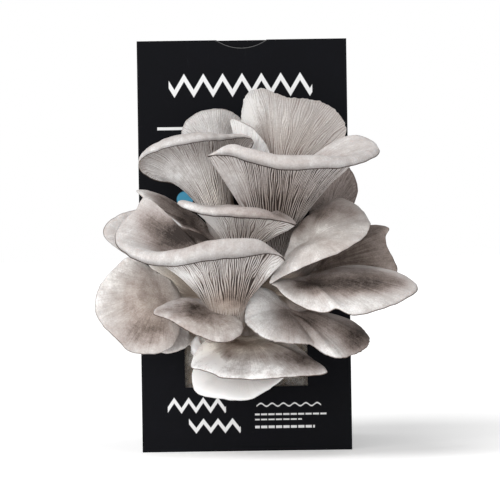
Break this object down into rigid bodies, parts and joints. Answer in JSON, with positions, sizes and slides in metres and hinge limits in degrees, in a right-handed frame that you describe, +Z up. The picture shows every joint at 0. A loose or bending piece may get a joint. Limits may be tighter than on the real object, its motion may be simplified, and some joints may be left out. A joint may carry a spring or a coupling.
{
  "type": "oyster mushroom grow kit",
  "caption": "Tall square carton with a hinged lid and a window in front, holding a bagged block of substrate from which a cluster of oyster mushrooms fans out.",
  "frame": {"origin": "centre of the carton's base, on the surface it stands on", "axes": "+Z up, -Y out of the windowed front, +X to the right as seen from the front"},
  "size_m": [0.1888, 0.2437, 0.255],
  "materials": {
    "printed_board": "near-black print, satin",
    "plain_board": "unprinted board, matt",
    "substrate": "rough sawdust grown through with white threads",
    "film": "thin clear film, slightly glossy",
    "stem_knot": "matt fungus flesh, yellowish",
    "pale_flesh": "matt fungus flesh, off-white",
    "mauve_flesh": "matt fungus flesh, beige to mauve",
    "brown_flesh": "matt fungus flesh, grey-brown"
  },
  "bodies": {
    "kit": {"carton": "printed_board", "dust_flap_left": "plain_board", "dust_flap_right": "plain_board", "substrate_block": "substrate", "grow_bag": "film", "cluster_base": "stem_knot", "mushroom_top_right": "pale_flesh", "mushroom_top_middle": "pale_flesh", "mushroom_top_left": "pale_flesh", "mushroom_upper_left": "mauve_flesh", "mushroom_upper_right": "mauve_flesh", "mushroom_back_right": "brown_flesh", "mushroom_middle": "mauve_flesh", "mushroom_big_front": "pale_flesh", "mushroom_left_blade": "brown_flesh", "mushroom_far_left": "mauve_flesh", "mushroom_left_disc": "mauve_flesh", "mushroom_left_pointed": "brown_flesh", "mushroom_left_low": "mauve_flesh", "mushroom_low_back": "pale_flesh", "mushroom_right_saddle": "mauve_flesh", "mushroom_right_back": "brown_flesh", "mushroom_right_long": "brown_flesh", "mushroom_right_low": "mauve_flesh", "mushroom_low_front": "mauve_flesh", "mushroom_lowest": "pale_flesh"},
    "lid": {"lid": "printed_board"}
  },
  "joints": [
    {"name": "lid_hinge", "type": "hinge", "parent": "kit", "child": "lid", "pos_m": [0, 0.065, 0.2534], "axis": [-1, 0, 0], "range_deg": [0, 110]}
  ]
}
